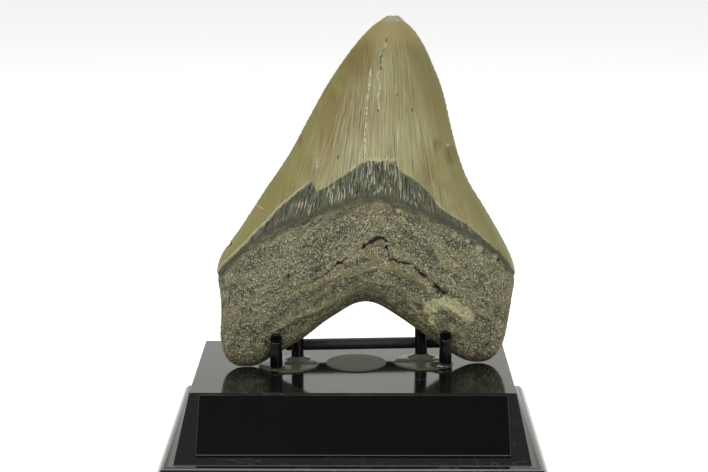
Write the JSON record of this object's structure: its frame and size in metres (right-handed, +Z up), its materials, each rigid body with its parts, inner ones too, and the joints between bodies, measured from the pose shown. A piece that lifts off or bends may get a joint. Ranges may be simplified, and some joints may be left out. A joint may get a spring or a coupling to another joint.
{
  "type": "megalodon tooth on a display stand",
  "caption": "Large fossil shark tooth, crown up, leaning in a small rod cradle on a slant-front black marble base with a bare plate.",
  "frame": {"origin": "middle of the base's flat underside", "axes": "+Z up, from the underside to the tooth's tip; -Y towards the sloping front with its plate; +X to the right when facing the front"},
  "size_m": [0.1328, 0.1044, 0.1519],
  "materials": {
    "fossil_tooth": "olive-tan enamel crown with fine streaks, dark grey band, grainy olive-brown root",
    "black_marble": "polished black marble with faint pale clouds",
    "black_plate": "satin black plate with bright bevelled edge, bare",
    "glossy_sleeve": "glossy black sleeve",
    "satin_black_rod": "slightly grainy satin black paint",
    "clear_pad": "clear pad with clear set glue",
    "matt_pad": "matt grey-olive pad"
  },
  "bodies": {
    "root": {"tooth": "fossil_tooth", "marble_base": "black_marble", "name_plate": "black_plate", "left_peg": "glossy_sleeve", "right_peg": "glossy_sleeve", "left_post": "glossy_sleeve", "right_post": "glossy_sleeve", "rear_bar": "satin_black_rod", "left_disc": "clear_pad", "right_disc": "clear_pad", "middle_disc": "matt_pad"}
  },
  "joints": []
}
